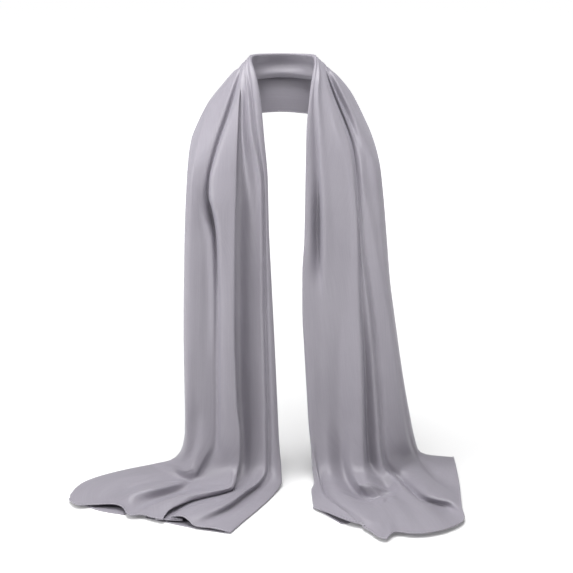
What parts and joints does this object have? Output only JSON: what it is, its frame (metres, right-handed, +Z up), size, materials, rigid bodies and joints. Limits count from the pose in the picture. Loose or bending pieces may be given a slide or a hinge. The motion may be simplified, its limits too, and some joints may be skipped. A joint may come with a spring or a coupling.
{
  "type": "evening stole",
  "caption": "Long plain satin evening stole, laid round the back of the neck, with two softly folded tails that fall in front and trail on the floor.",
  "frame": {"origin": "middle of the neck loop at the height of its upper rim, where the wearer's neck holds the stole up", "axes": "+X to the viewer's right as seen from the front, +Y from the front to the back of the neck, +Z up; the tails trail on the level z = -0.730"},
  "size_m": [0.6888, 0.4041, 0.7299],
  "materials": {
    "satin": "soft lilac-grey satin"
  },
  "bodies": {
    "root": {"left_trail": "satin", "left_fall": "satin", "neck_band": "satin", "right_fall": "satin", "right_trail": "satin"}
  },
  "joints": []
}
